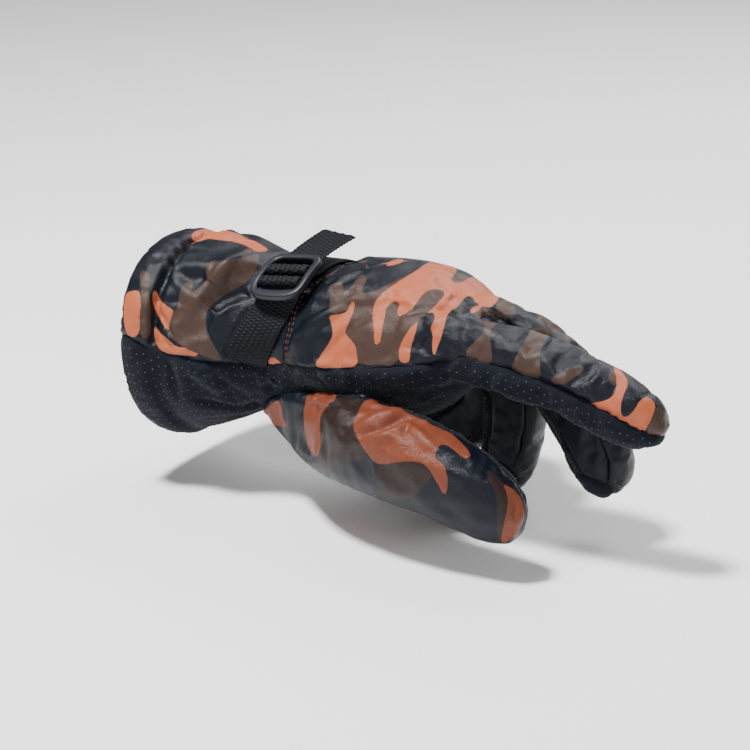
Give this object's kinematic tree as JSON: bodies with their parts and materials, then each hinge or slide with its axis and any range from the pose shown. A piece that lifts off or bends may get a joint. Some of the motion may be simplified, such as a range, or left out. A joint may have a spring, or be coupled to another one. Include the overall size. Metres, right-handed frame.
{
  "type": "padded riding glove",
  "caption": "Padded winter riding glove for the left hand, curled as worn, with a camouflage back, dotted palm and wrist strap with a ladder buckle.",
  "frame": {"origin": "middle of the cuff's opening, where the wrist goes in", "axes": "+X from the cuff to the fingertips, +Y across the hand towards the little finger, +Z out of the back of the hand"},
  "size_m": [0.2611, 0.1424, 0.1114],
  "materials": {
    "camouflage": "fine-grained coated cloth with a printed pattern, half gloss",
    "grip_cloth": "black knit with rows of small grey grip dots",
    "side_strip": "plain black coated cloth",
    "fleece": "short grey fleece",
    "webbing": "ribbed black webbing",
    "grip_dots": "small grey silicone dots",
    "thread": "brown polyester sewing thread",
    "buckle_plastic": "moulded black plastic, satin"
  },
  "bodies": {
    "root": {"back_panel": "camouflage", "cuff_back": "camouflage", "thumb_back": "camouflage", "palm_panel": "grip_cloth", "thumb_front": "grip_cloth", "side_strip_index_middle": "side_strip", "side_strip_middle_ring": "side_strip", "side_strip_ring_little": "side_strip", "lining": "fleece", "strap_lower": "webbing", "strap_upper": "webbing", "buckle": "buckle_plastic"}
  },
  "joints": []
}
